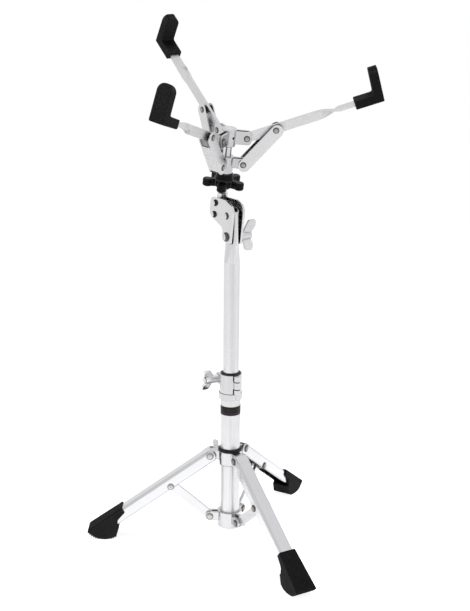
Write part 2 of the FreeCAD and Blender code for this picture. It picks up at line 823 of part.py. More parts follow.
def make_clamp_wing_nut():
    """Wing nut against the jaw's ear."""
    nut = wing_handle(clamp_wing_base_radius, clamp_wing_base_length, clamp_wing_hub_radius,
                      clamp_wing_hub_length, clamp_wing_span, clamp_wing_rise, clamp_wing_thickness)
    nut = nut.cut(disc(clamp_bolt_radius + clamp_nut_bore_clearance, -far, 2 * far))
    nut.rotate(Vector(0, 0, 0), Vector(0, 0, 1), clamp_wing_turn)
    nut.translate(Vector(0, 0, clamp_gap / 2 + clamp_ear_thickness + fit_clearance))
    nut.rotate(Vector(0, 0, 0), Vector(1, 0, 0), 90)
    nut.translate(Vector(-clamp_bolt_offset, 0, clamp_middle))
    return on_clamp(nut)


def make_clamp_bush():
    """Split nylon sleeve between the clamp and the upper tube, with a flange on top."""
    outer = clamp_bush_bore + clamp_bush_wall
    flange = outer + clamp_bush_flange_lip
    bush = revolve_profile([
        (clamp_bush_bore, clamp_bottom),
        (outer, clamp_bottom),
        (outer, clamp_top + fit_clearance),
        (flange, clamp_top + fit_clearance),
        (flange, clamp_top + clamp_bush_flange_height * 0.5),
        (clamp_bush_bore + 0.8, clamp_top + clamp_bush_flange_height),
        (clamp_bush_bore, clamp_top + clamp_bush_flange_height),
    ])
    slit = block((-far, -clamp_bush_slit / 2, clamp_bottom - 1), (0, clamp_bush_slit / 2, clamp_top + far))
    return on_clamp(bush.cut(slit))


def make_tube_guide():
    """Nylon guide under the upper tube, sliding in the lower tube."""
    outer = lower_tube_bore - running_clearance
    inner = upper_tube_radius + bush_clearance
    guide = revolve_profile([
        (upper_tube_radius - upper_tube_wall, upper_tube_bottom - guide_lip - fit_clearance),
        (outer, upper_tube_bottom - guide_lip - fit_clearance),
        (outer, upper_tube_bottom + guide_length),
        (inner, upper_tube_bottom + guide_length),
        (inner, upper_tube_bottom - fit_clearance),
        (upper_tube_radius - upper_tube_wall, upper_tube_bottom - fit_clearance),
    ])
    return guide


def circle_section(height, radius):
    """Round outline cut into the same six stretches as the flattened one."""
    turn = math.radians(20)
    angles = [-math.pi / 2, -turn, turn, math.pi / 2, math.pi - turn, math.pi + turn]
    points = [Vector(radius * math.cos(a), radius * math.sin(a), height) for a in angles]
    edges = []
    for index, angle in enumerate(angles):
        following = angles[(index + 1) % len(angles)]
        if following < angle:
            following += 2 * math.pi
        middle = (angle + following) / 2
        through = Vector(radius * math.cos(middle), radius * math.sin(middle), height)
        edges.append(Part.Arc(points[index], through, points[(index + 1) % len(points)]).toShape())
    return Part.Wire(edges)


def flat_outline(height, thickness, width):
    """Flattened outline in six stretches that answer to the round one's."""
    half = thickness / 2
    flat = width / 2 - half
    points = [
        Vector(0, -width / 2, height),
        Vector(half, -flat, height),
        Vector(half, flat, height),
        Vector(0, width / 2, height),
        Vector(-half, flat, height),
        Vector(-half, -flat, height),
    ]
    diagonal = half * math.sqrt(0.5)
    throughs = [
        Vector(diagonal, -flat - diagonal, height),
        None,
        Vector(diagonal, flat + diagonal, height),
        Vector(-diagonal, flat + diagonal, height),
        None,
        Vector(-diagonal, -flat - diagonal, height),
    ]
    edges = []
    for index, through in enumerate(throughs):
        start = points[index]
        end = points[(index + 1) % len(points)]
        if through is None:
            edges.append(Part.LineSegment(start, end).toShape())
        else:
            edges.append(Part.Arc(start, through, end).toShape())
    return Part.Wire(edges)


def tube_body(radius, thickness, width, bottom, top):
    """Round tube that flattens towards its top."""
    shaft = disc(radius, bottom, flattening_start - bottom)
    neck = Part.makeLoft([circle_section(flattening_start, radius),
                          flat_outline(flat_start, thickness, width)], True, False)
    blade = Part.Face(flat_outline(flat_start, thickness, width)).extrude(Vector(0, 0, top - flat_start))
    return shaft.fuse([neck, blade]).removeSplitter()


def make_upper_tube():
    """Upper tube with its flattened, slotted end for the tilter."""
    top = tilter_pivot_height + flat_reach
    outside = tube_body(upper_tube_radius, flat_thickness, flat_width, upper_tube_bottom, top)
    inside = tube_body(upper_tube_radius - upper_tube_wall, flat_thickness - 2 * upper_tube_wall,
                       flat_width - 2 * upper_tube_wall, upper_tube_bottom - 1, top + 1)
    tube = outside.cut(inside)
    half = flat_width / 2
    outline = rounded_wire([
        (-half - 1, upper_tube_bottom - 1, 0),
        (half + 1, upper_tube_bottom - 1, 0),
        (half + 1, top, flat_corner_radius + 1),
        (-half - 1, top, flat_corner_radius + 1),
    ])
    tube = tube.common(plate_prism(outline, -far / 2, far))
    bolt_hole = Part.makeCylinder(tilter_bolt_radius + pivot_clearance, far,
                                  Vector(-far / 2, 0, tilter_pivot_height), Vector(1, 0, 0))
    tube = tube.cut([bolt_hole, arc_slot()])
    return on_mast(tube)


def arc_slot():
    """Curved slot about the tilter pivot that the stop pin runs in."""
    half_width = stop_pin_radius + slot_clearance
    inner = stop_pin_reach - half_width
    outer = stop_pin_reach + half_width
    half_angle = math.radians(slot_half_angle)

    def point(radius, angle):
        return Vector(radius * math.sin(angle), radius * math.cos(angle), 0)

    cap = half_width / stop_pin_reach
    edges = [
        Part.Arc(point(outer, -half_angle), point(outer, 0), point(outer, half_angle)).toShape(),
        Part.Arc(point(outer, half_angle), point(stop_pin_reach, half_angle + cap),
                 point(inner, half_angle)).toShape(),
        Part.Arc(point(inner, half_angle), point(inner, 0), point(inner, -half_angle)).toShape(),
        Part.Arc(point(inner, -half_angle), point(stop_pin_reach, -half_angle - cap),
                 point(outer, -half_angle)).toShape(),
    ]
    slot = plate_prism(Part.Wire(edges), -far / 2, far)
    slot.translate(Vector(0, 0, tilter_pivot_height))
    return slot


def on_mast(shape):
    """Turn a shape drawn with X along the tilter's pivot to the tilter's azimuth."""
    return leg_side(shape, tilter_azimuth)


def on_tilter(shape):
    """Place a shape drawn in the tilter's level pose, with X along its pivot and Z up from it."""
    placed = shape.copy()
    placed.rotate(Vector(0, 0, 0), Vector(1, 0, 0), tilt_at_rest)
    placed.translate(Vector(0, 0, tilter_pivot_height))
    return on_mast(placed)


stop_pin_turn = math.radians(stop_pin_angle)
stop_pin_place = (stop_pin_reach * math.sin(stop_pin_turn), stop_pin_reach * math.cos(stop_pin_turn))


def cheek_holes():
    """Holes through a cheek: pivot bolt, stop pin and two stem rivets."""
    places = [(0.0, 0.0, tilter_bolt_radius), stop_pin_place + (stop_pin_radius,)]
    places += [(stem_offset, height, stem_rivet_radius) for height in stem_rivet_heights]
    return [
        Part.makeCylinder(radius + fit_clearance, far, Vector(-far / 2, across, height), Vector(1, 0, 0))
        for across, height, radius in places
    ]


def make_cheek(low):
    """Pressed side plate: an upright leg on the pivot and an arm that holds the stem."""
    outline = rounded_wire([
        (-cheek_front, -cheek_bottom, cheek_bottom_radius),
        (cheek_back, -cheek_bottom, cheek_bottom_radius),
        (cheek_back, cheek_arm_bottom, cheek_waist_radius),
        (cheek_arm_end, cheek_arm_bottom, cheek_arm_radius),
        (cheek_arm_end, cheek_arm_shoulder, cheek_arm_radius),
        (cheek_top_end, cheek_top, cheek_top_radius),
        (-cheek_front_at_top, cheek_top, cheek_top_radius),
    ])
    cheek = plate_prism(outline, low, cheek_thickness)
    return on_tilter(cheek.cut(cheek_holes()))


def along_pivot(shape):
    """Turn a shape drawn about Z so that its axis lies along the tilter's pivot."""
    turned = shape.copy()
    turned.rotate(Vector(0, 0, 0), Vector(0, 1, 0), 90)
    return turned


def make_tilter_bolt():
    """Pivot bolt with its round head on the left cheek."""
    bolt = disc(tilter_bolt_radius, -cheek_outer, cheek_outer + tilter_bolt_end)
    head = domed_head(tilter_bolt_head_radius, tilter_bolt_head_height)
    head.rotate(Vector(0, 0, 0), Vector(1, 0, 0), 180)
    head.translate(Vector(0, 0, -cheek_outer - fit_clearance))
    collar = disc(tilter_bolt_radius, -cheek_outer - fit_clearance, fit_clearance)
    return on_tilter(along_pivot(bolt.fuse([collar, head]).removeSplitter()))


def make_tilter_wing_nut():
    """Wing nut on the right end of the pivot bolt."""
    nut = wing_handle(tilter_wing_base_radius, tilter_wing_base_length, tilter_wing_hub_radius,
                      tilter_wing_hub_length, tilter_wing_span, tilter_wing_rise, tilter_wing_thickness)
    nut = nut.cut(disc(tilter_bolt_radius + pivot_clearance, -far, 2 * far))
    nut.translate(Vector(0, 0, cheek_outer + fit_clearance))
    return on_tilter(along_pivot(nut))


def make_tilter_washers():
    """Friction washers between the flattened tube and the cheeks."""
    washers = []
    for side in (-1, 1):
        near = flat_thickness / 2 + fit_clearance
        low = near if side > 0 else -near - (washer_thickness - fit_clearance)
        washer = disc(washer_radius, low, washer_thickness - fit_clearance)
        washer = washer.cut(disc(tilter_bolt_radius + fit_clearance, -far, 2 * far))
        washers.append(on_tilter(along_pivot(washer)))
    return Part.makeCompound(washers)


def pivot_rivet(radius, head_radius, head_height, across, height):
    """Rivet through both cheeks."""
    rivet = cross_rivet(radius, cheek_outer + fit_clearance, head_radius, head_height)
    rivet.rotate(Vector(0, 0, 0), Vector(0, 0, 1), 90)
    rivet.translate(Vector(0, across, height))
    return on_tilter(rivet)


def make_tilter_rivets():
    """Two rivets that hold the stem between the cheeks."""
    return Part.makeCompound([
        pivot_rivet(stem_rivet_radius, stem_rivet_head_radius, stem_rivet_head_height, stem_offset, height)
        for height in stem_rivet_heights
    ])


def make_stop_pin():
    """Pin in the cheeks that runs in the tube's curved slot."""
    return pivot_rivet(stop_pin_radius, stop_pin_head_radius, stop_pin_head_height, *stop_pin_place)


def on_basket(shape, height=0.0, turn=0.0):
    """Place a shape drawn about the stem axis, at a height over the tilter pivot, turned about the stem."""
    placed = shape.copy()
    placed.rotate(Vector(0, 0, 0), Vector(0, 0, 1), turn)
    placed.translate(Vector(0, stem_offset, height))
    return on_tilter(placed)


arm_turns = {"right": arm_turn, "back": arm_turn + 120, "front": arm_turn + 240}


def make_stem():
    """Turned rod: a thick foot, flat where the cheeks hold it, and a slim length for nut and hubs."""
    chamfer = stem_foot_radius - stem_radius
    stem = revolve_profile([
        (0, stem_foot_bottom),
        (stem_foot_radius - chamfer, stem_foot_bottom),
        (stem_foot_radius, stem_foot_bottom + chamfer),
        (stem_foot_radius, stem_foot_top - chamfer),
        (stem_radius, stem_foot_top),
        (stem_radius, arm_pivot_height + upper_hub_above_pivot),
        (0, arm_pivot_height + upper_hub_above_pivot),
    ])
    flat = cheek_inner - fit_clearance
    stem = stem.cut([
        block((flat, -far, stem_foot_bottom - 1), (far, far, stem_flat_top)),
        block((-far, -far, stem_foot_bottom - 1), (-flat, far, stem_flat_top)),
    ])
    for height in stem_rivet_heights:
        stem = stem.cut(Part.makeCylinder(stem_rivet_radius + fit_clearance, far,
                                          Vector(-far / 2, 0, height), Vector(1, 0, 0)))
    return on_basket(stem)


def hub_with_lugs(body_radius, below, above, bore, pivot_radius, inner, plate, outline, hole_radius):
    """Round hub with three pairs of lugs, drawn with its pivots at Z = 0."""
    hub = disc(body_radius, -below, below + above)
    edges = [edge for edge in hub.Edges if abs(edge.Length - 2 * math.pi * body_radius) < 0.01]
    hub = hub.makeFillet(hub_edge_radius, edges)
    for turn in arm_turns.values():
        for side in (-1, 1):
            plate_solid = side_prism(outline, plate, side * (inner + plate / 2))
            plate_solid = plate_solid.cut(cross_pin(hole_radius, far, pivot_radius))
            plate_solid.rotate(Vector(0, 0, 0), Vector(0, 0, 1), turn)
            hub = hub.fuse(plate_solid)
    return hub.cut(disc(bore, -far, 2 * far)).removeSplitter()


def set_screw_hole(radius, start, length):
    """Cylinder along the upper hub's set screw."""
    return Part.makeCylinder(radius, length, Vector(start, 0, 0), Vector(1, 0, 0))


def make_upper_hub():
    """Hub fixed on the stem's top with a fork for each arm."""
    reach = arm_pivot_radius + upper_lug_overhang
    half = upper_lug_half_height
    outline = rounded_wire([
        (stem_radius, -half, 0),
        (reach, -half, upper_lug_corner_radius),
        (reach, half, upper_lug_corner_radius),
        (stem_radius, half, 0),
    ])
    hub = hub_with_lugs(upper_hub_radius, upper_hub_below_pivot, upper_hub_above_pivot,
                        stem_radius + fit_clearance, arm_pivot_radius,
                        arm_thickness / 2 + running_clearance, upper_lug_plate, outline,
                        arm_rivet_radius + fit_clearance)
    hole = set_screw_hole(set_screw_radius + fit_clearance, 0, far)
    hole.rotate(Vector(0, 0, 0), Vector(0, 0, 1), set_screw_azimuth)
    return on_basket(hub.cut(hole), arm_pivot_height)


def make_set_screw():
    """Grub screw in the upper hub, sunk below its surface."""
    screw = set_screw_hole(set_screw_radius, stem_radius + fit_clearance,
                           upper_hub_radius - set_screw_recess - stem_radius)
    screw.rotate(Vector(0, 0, 0), Vector(0, 0, 1), set_screw_azimuth)
    return on_basket(screw, arm_pivot_height)


def make_arm_rivets():
    """Pivots of the three arms in the upper hub."""
    half = arm_thickness / 2 + running_clearance + upper_lug_plate + fit_clearance
    rivet = cross_rivet(arm_rivet_radius, half, arm_rivet_head_radius, arm_rivet_head_height)
    rivet.translate(Vector(arm_pivot_radius, 0, 0))
    return Part.makeCompound([on_basket(rivet, arm_pivot_height, turn) for turn in arm_turns.values()])


def make_lower_hub_of_basket():
    """Hub that slides on the stem and carries the links."""
    reach = lower_pivot_radius + lower_lug_radius
    outline = rounded_wire([
        (stem_radius, -lower_lug_radius, 0),
        (reach, -lower_lug_radius, lower_lug_radius * 0.999),
        (reach, lower_lug_radius, lower_lug_radius * 0.999),
        (stem_radius, lower_lug_radius, 0),
    ])
    hub = hub_with_lugs(lower_hub_radius, lower_hub_below_pivot, lower_hub_above_pivot,
                        stem_radius + lower_hub_bore_clearance, lower_pivot_radius,
                        lower_lug_inner, lower_lug_plate, outline, lower_lug_hole_radius)
    return on_basket(hub, lower_pivot_height)


def make_basket_nut():
    """Lobed plastic nut under the lower hub."""
    top = -lower_hub_below_pivot - nut_gap
    lobes_top = top - nut_boss_height
    lobes_bottom = lobes_top - nut_lobe_height
    core = disc(nut_core_radius, lobes_bottom, nut_lobe_height)
    pieces = []
    for index in range(nut_lobe_count):
        neck = block((0, -nut_lobe_neck / 2, lobes_bottom), (nut_lobe_reach, nut_lobe_neck / 2, lobes_top))
        knob = disc(nut_lobe_radius, lobes_bottom, nut_lobe_height)
        knob.translate(Vector(nut_lobe_reach, 0, 0))
        lobe = neck.fuse(knob)
        lobe.rotate(Vector(0, 0, 0), Vector(0, 0, 1), nut_lobe_turn + index * 360 / nut_lobe_count)
        pieces.append(lobe)
    star = core.fuse(pieces).removeSplitter()
    rims = [
        edge for edge in star.Edges
        if edge.BoundBox.ZLength < 0.01 and min(abs(edge.BoundBox.ZMin - lobes_top),
                                                abs(edge.BoundBox.ZMin - lobes_bottom)) < 0.01
    ]
    star = star.makeFillet(nut_edge_radius, rims)
    boss = revolve_profile([
        (0, lobes_bottom - nut_skirt_height),
        (nut_skirt_radius, lobes_bottom - nut_skirt_height),
        (nut_skirt_radius, lobes_top),
        (nut_boss_radius, lobes_top - 1),
        (nut_boss_radius, lobes_top + 1),
        (nut_boss_top_radius, top),
        (0, top),
    ])
    nut = star.fuse(boss).cut(disc(stem_radius + lower_hub_bore_clearance, -far, 2 * far))
    return on_basket(nut.removeSplitter(), lower_pivot_height)


def on_arm(shape, turn):
    """Place a shape drawn along an arm from its hub pivot, with Z across the arm's plane."""
    placed = shape.copy()
    placed.rotate(Vector(0, 0, 0), Vector(0, 1, 0), -arm_elevation)
    placed.translate(Vector(arm_pivot_radius, 0, 0))
    return on_basket(placed, arm_pivot_height, turn)


def make_arm():
    """Flat bar on edge at the hub, twisted a quarter turn before its grip."""
    half = arm_width / 2
    inner = side_prism(rounded_wire([
        (-half, -half, half * 0.999),
        (arm_twist_start, -half, 0),
        (arm_twist_start, half, 0),
        (-half, half, half * 0.999),
    ]), arm_thickness)
    sections = []
    for step in range(arm_twist_steps + 1):
        share = step / arm_twist_steps
        along = arm_twist_start + arm_twist_length * share
        section = Part.makePolygon([
            Vector(along, -arm_thickness / 2, -half),
            Vector(along, arm_thickness / 2, -half),
            Vector(along, arm_thickness / 2, half),
            Vector(along, -arm_thickness / 2, half),
            Vector(along, -arm_thickness / 2, -half),
        ])
        section.rotate(Vector(0, 0, 0), Vector(1, 0, 0), 90 * share)
        sections.append(section)
    twist = Part.makeLoft(sections, True, False)
    twist_end = arm_twist_start + arm_twist_length
    outer = block((twist_end, -half, -arm_thickness / 2), (arm_length, half, arm_thickness / 2))
    arm = inner.fuse([twist, outer]).removeSplitter()
    for along in (0.0, arm_link_distance):
        arm = arm.cut(cross_pin(arm_rivet_radius + pivot_clearance, arm_thickness, along))
    return arm


def make_grip():
    """L-shaped rubber grip: a sleeve on the bar's end and an upright finger."""
    low = -grip_sleeve_half_height
    finger_inner = grip_outer_face - grip_finger_thickness
    profile = rounded_wire([
        (grip_sleeve_start, low, grip_corner_radius),
        (grip_outer_face, low, grip_corner_radius),
        (grip_outer_face + grip_finger_lean, grip_finger_top, grip_corner_radius),
        (finger_inner + grip_finger_lean, grip_finger_top, grip_corner_radius),
        (finger_inner, grip_sleeve_half_height, grip_inner_radius),
        (grip_sleeve_start, grip_sleeve_half_height, grip_corner_radius),
    ])
    grip = side_prism(profile, grip_width)
    half = grip_width / 2
    front = rounded_wire([
        (-half, low, grip_corner_radius),
        (half, low, grip_corner_radius),
        (half, grip_finger_top, grip_top_radius),
        (-half, grip_finger_top, grip_top_radius),
    ])
    grip = grip.common(plate_prism(front, 0, far * 2))
    socket_half = arm_width / 2 + fit_clearance
    socket_height = arm_thickness / 2 + fit_clearance
    socket = block((0, -socket_half, -socket_height),
                   (arm_length + fit_clearance, socket_half, socket_height))
    return grip.cut(socket)


# A link runs from the arm's pivot down to the lower hub's pivot
rise = math.radians(arm_elevation)
link_top = (arm_pivot_radius + arm_link_distance * math.cos(rise), arm_link_distance * math.sin(rise))
link_run = (lower_pivot_radius - link_top[0], -hub_drop - link_top[1])
link_length = math.hypot(*link_run)
link_angle = math.degrees(math.atan2(link_run[1], link_run[0]))


def on_link(shape, turn):
    """Place a shape drawn along a link from its arm pivot, with Z towards the link's outer side."""
    placed = shape.copy()
    placed.rotate(Vector(0, 0, 0), Vector(0, 1, 0), -link_angle)
    placed.translate(Vector(link_top[0], 0, link_top[1]))
    return on_basket(placed, arm_pivot_height, turn)


def make_link():
    """Pressed channel: two side plates with round ends, joined by a web on the outer side."""
    inner = link_across / 2 - link_sheet
    link = side_prism(stadium(link_length, link_width), link_across)
    link.translate(Vector(0, 0, link_offset))
    web_inner = link_offset + link_width / 2 - link_sheet
    link = link.cut(block((-far, -inner, -far), (far, inner, web_inner)))
    link = link.cut(block((-far, -inner, -far), (link_web_start, inner, far)))
    link = link.cut(block((link_length - link_web_end_gap, -inner, -far), (far, inner, far)))
    for along in (0.0, link_length):
        link = link.cut(cross_pin(arm_rivet_radius + fit_clearance, far, along))
    return link


def make_link_rivets():
    """Rivets at a link's two ends."""
    rivets = []
    for along in (0.0, link_length):
        rivet = cross_rivet(arm_rivet_radius, link_across / 2 + fit_clearance, arm_rivet_head_radius,
                            arm_rivet_head_height)
        rivet.translate(Vector(along, 0, 0))
        rivets.append(rivet)
    return Part.makeCompound(rivets)


def make_link_spacers():
    """Nylon spacers on both sides of the arm, inside the link."""
    near = arm_thickness / 2 + running_clearance
    width = link_across / 2 - link_sheet - fit_clearance - near
    spacers = []
    for side in (-1, 1):
        spacer = cross_pin(spacer_radius, width / 2)
        spacer = spacer.cut(cross_pin(arm_rivet_radius + fit_clearance, far))
        spacer.translate(Vector(0, side * (near + width / 2), 0))
        spacers.append(spacer)
    return Part.makeCompound(spacers)


def all_nodes():
    """Every node's shape by name."""
    nodes = {
        "lower_tube": make_lower_tube(),
        "badge_band": make_badge_band(),
        "lower_hub": make_lower_hub(),
        "hub_rivets": make_hub_rivets(),
        "leg_collar": make_collar(),
        "collar_bush": make_collar_bush(),
        "collar_wing_bolt": make_collar_wing_bolt(),
        "collar_rivets": make_collar_rivets(),
        "clamp_body": make_clamp_body(),
        "clamp_jaw": make_clamp_jaw(),
        "clamp_hinge_pin": make_clamp_hinge_pin(),
        "clamp_bolt": make_clamp_bolt(),
        "clamp_wing_nut": make_clamp_wing_nut(),
        "clamp_bush": make_clamp_bush(),
        "tube_guide": make_tube_guide(),
        "upper_tube": make_upper_tube(),
        "tilter_cheek_left": make_cheek(-cheek_outer),
        "tilter_cheek_right": make_cheek(cheek_inner),
        "tilter_bolt": make_tilter_bolt(),
        "tilter_wing_nut": make_tilter_wing_nut(),
        "tilter_washers": make_tilter_washers(),
        "tilter_rivets": make_tilter_rivets(),
        "tilter_stop_pin": make_stop_pin(),
        "basket_stem": make_stem(),
        "upper_basket_hub": make_upper_hub(),
        "hub_set_screw": make_set_screw(),
        "arm_rivets": make_arm_rivets(),
        "lower_basket_hub": make_lower_hub_of_basket(),
        "basket_nut": make_basket_nut(),
    }
    tripod = {"leg": make_leg(), "leg_rivet": make_leg_rivet(), "foot": make_foot(), "brace": make_brace()}
    for side, azimuth in leg_azimuths.items():
        for name, shape in tripod.items():
            nodes[name + "_" + side] = leg_side(shape, azimuth)
    arm_pieces = {"arm": make_arm(), "grip": make_grip()}
    link_pieces = {
        "link": make_link(),
        "link_rivets": make_link_rivets(),
        "link_spacers": make_link_spacers(),
    }
    for side, turn in arm_turns.items():
        for name, shape in arm_pieces.items():
            nodes[name + "_" + side] = on_arm(shape, turn)
        for name, shape in link_pieces.items():
            nodes[name + "_" + side] = on_link(shape, turn)
    return nodes


os.makedirs("parts", exist_ok=True)
for node_name, node_shape in all_nodes().items():
    node_shape.exportStep("parts/" + node_name + ".step")
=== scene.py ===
import json
import math

import bpy
import numpy as np
from mathutils import Matrix, Vector


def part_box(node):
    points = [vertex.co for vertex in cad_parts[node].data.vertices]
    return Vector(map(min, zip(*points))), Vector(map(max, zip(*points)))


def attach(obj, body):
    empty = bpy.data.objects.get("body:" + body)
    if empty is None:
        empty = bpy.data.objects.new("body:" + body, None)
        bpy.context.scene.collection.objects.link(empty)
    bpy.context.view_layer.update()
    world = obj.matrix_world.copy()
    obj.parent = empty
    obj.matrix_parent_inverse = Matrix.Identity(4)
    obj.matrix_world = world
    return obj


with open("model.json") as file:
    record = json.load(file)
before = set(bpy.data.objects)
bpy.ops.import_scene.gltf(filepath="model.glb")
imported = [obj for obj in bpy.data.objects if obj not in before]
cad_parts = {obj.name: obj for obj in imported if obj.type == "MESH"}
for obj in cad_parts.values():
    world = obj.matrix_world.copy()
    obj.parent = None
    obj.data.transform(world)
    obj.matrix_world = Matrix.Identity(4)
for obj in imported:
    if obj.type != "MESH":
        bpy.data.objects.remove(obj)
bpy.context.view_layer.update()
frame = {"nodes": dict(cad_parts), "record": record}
nodes = frame["nodes"]
scene = bpy.context.scene


class Shader:
    """A material's node tree, with short calls that add and join its nodes."""

    def __init__(self, name):
        self.material = bpy.data.materials.new(name)
        self.material.use_nodes = True
        self.tree = self.material.node_tree
        self.surface = self.tree.nodes["Principled BSDF"]
        self.object = self.add("ShaderNodeTexCoord").outputs["Object"]

    def add(self, kind, inputs=None, **settings):
        node = self.tree.nodes.new(kind)
        for key, value in settings.items():
            setattr(node, key, value)
        for key, value in (inputs or {}).items():
            self.put(node.inputs[key], value)
        return node

    def put(self, socket, value):
        if isinstance(value, bpy.types.NodeSocket):
            self.tree.links.new(value, socket)
        else:
            socket.default_value = value

    def stretched(self, scale):
        """Object coordinates stretched by a scale for each axis."""
        return self.add("ShaderNodeMapping", {"Vector": self.object, "Scale": scale}).outputs["Vector"]

    def noise(self, scale, detail=2.0, rough=0.5, coords=None):
        return self.add("ShaderNodeTexNoise", {
            "Vector": coords or self.object, "Scale": scale, "Detail": detail, "Roughness": rough,
        }).outputs["Fac"]

    def span(self, value, low, high, to_low, to_high):
        """Value carried from one span to another and held at its ends."""
        return self.add("ShaderNodeMapRange", {
            "Value": value, "From Min": low, "From Max": high, "To Min": to_low, "To Max": to_high,
        }).outputs["Result"]

    def math(self, operation, first, second=0.0):
        node = self.add("ShaderNodeMath", operation=operation)
        self.put(node.inputs[0], first)
        self.put(node.inputs[1], second)
        return node.outputs["Value"]

    def mix(self, share, first, second):
        node = self.add("ShaderNodeMix", data_type="RGBA")
        self.put(node.inputs["Factor"], share)
        colours = [socket for socket in node.inputs if socket.type == "RGBA"]
        for socket, colour in zip(colours, (first, second)):
            self.put(socket, colour if isinstance(colour, bpy.types.NodeSocket) else (*colour, 1.0))
        return [socket for socket in node.outputs if socket.type == "RGBA"][0]

    def rounded(self, radius):
        """Normals that turn over the edges, and how close a point is to an edge."""
        normal = self.add("ShaderNodeBevel", {"Radius": radius}, samples=6).outputs["Normal"]
        turn = self.add("ShaderNodeVectorMath", operation="DOT_PRODUCT")
        self.put(turn.inputs[0], normal)
        self.put(turn.inputs[1], self.flat())
        return normal, self.span(turn.outputs["Value"], 0.995, 0.85, 0.0, 1.0)

    def upward(self, vector):
        """Height part of a normal or a place."""
        return self.add("ShaderNodeSeparateXYZ", {"Vector": vector}).outputs["Z"]

    def flat(self):
        """The surface's own normals."""
        return self.add("ShaderNodeNewGeometry").outputs["Normal"]

    def bump(self, height, distance, normal):
        return self.add("ShaderNodeBump", {
            "Height": height, "Distance": distance, "Normal": normal, "Strength": 1.0,
        }).outputs["Normal"]

    def crevice(self, distance):
        """One in the open, falling towards nought in corners and gaps."""
        return self.add("ShaderNodeAmbientOcclusion", {"Distance": distance}, samples=6).outputs["AO"]

    def set(self, **sockets):
        for key, value in sockets.items():
            self.put(self.surface.inputs[key.replace("_", " ")], value)
        return self.material


def chrome(name, dark, light, low, high, edge=0.0005, ripple=0.00001, corner_shade_reach=0.0016, corner_shade_tone=0.11, painted_under_shade=0.0,
           painted_bend_shade=0.0, lines=None, streaks=0.0):
    """Bright plating: slow tone changes, hazy patches, fine polish lines, a painted highlight on edges, and
    painted shade in corners, on bends and on downward faces.
    """
    s = Shader(name)
    slow = s.noise(14.0, 2.0)
    haze = s.noise(120.0, 5.0, 0.6)
    polish = s.noise(1.0, 2.0, coords=s.stretched(lines or (900.0, 900.0, 900.0)))
    pits = s.noise(1900.0, 1.0)
    normal, edge_share = s.rounded(edge) if edge else (s.flat(), 0.0)
    colour = s.mix(s.span(slow, 0.35, 0.65, 0.0, 1.0), dark, light)
    if streaks:
        drawn = s.noise(1.0, 2.0, coords=s.stretched((230.0, 230.0, 1.5)))
        colour = s.mix(s.span(drawn, 0.38, 0.62, 0.0, streaks), colour, (0.52, 0.52, 0.54))
    # Painted highlight: the colour is lightened near edges.
    colour = s.mix(s.math("MULTIPLY", edge_share, 0.25), colour, (0.8, 0.8, 0.81))
    up = s.upward(normal)
    # Painted shade: the bend between a top face and a side is darkened.
    if painted_bend_shade:
        bend = s.math("MULTIPLY", s.span(up, 0.03, 0.15, 0.0, 1.0), s.span(up, 0.806, 0.78, 0.0, 1.0))
        colour = s.mix(s.math("MULTIPLY", bend, painted_bend_shade), colour, (0.4, 0.41, 0.43))
    # Painted shade: faces turned downwards are darkened towards near black.
    if painted_under_shade:
        colour = s.mix(s.span(up, -0.12, -0.75, 0.0, painted_under_shade), colour, (0.07, 0.07, 0.075))
    # Painted shade: corners, gaps and the plate round heads are darkened by ambient occlusion.
    if corner_shade_reach:
        corner = s.span(s.crevice(corner_shade_reach), 0.05, 0.6, 0.0, 1.0)
        colour = s.mix(corner, (corner_shade_tone, corner_shade_tone, corner_shade_tone * 1.04), colour)
    rough = s.span(haze, 0.3, 0.7, low, high)
    rough = s.math("ADD", rough, s.span(polish, 0.45, 0.75, 0.0, 0.05))
    rough = s.math("ADD", rough, s.span(pits, 0.68, 0.78, 0.0, 0.15))
    bumped = s.bump(s.math("ADD", haze, s.math("MULTIPLY", polish, 0.4)), ripple, normal)
    return s.set(Base_Color=colour, Metallic=1.0, Roughness=rough, Normal=bumped)


def rivet(name, rim, crown, low, high):
    """Plated rivet steel: the crown tone in the open, and the rim tone as painted shade in corners and in
    specks.
    """
    s = Shader(name)
    spots = s.noise(700.0, 4.0, 0.65)
    normal = s.rounded(0.0003)[0]
    # Painted shade: corners take the darker rim tone by ambient occlusion.
    open_share = s.span(s.crevice(0.0035), 0.45, 0.95, 0.0, 1.0)
    colour = s.mix(open_share, rim, crown)
    colour = s.mix(s.span(spots, 0.55, 0.75, 0.0, 0.45), colour, rim)
    rough = s.span(spots, 0.3, 0.7, low, high)
    return s.set(Base_Color=colour, Metallic=1.0, Roughness=rough, Normal=s.bump(spots, 0.00002, normal))


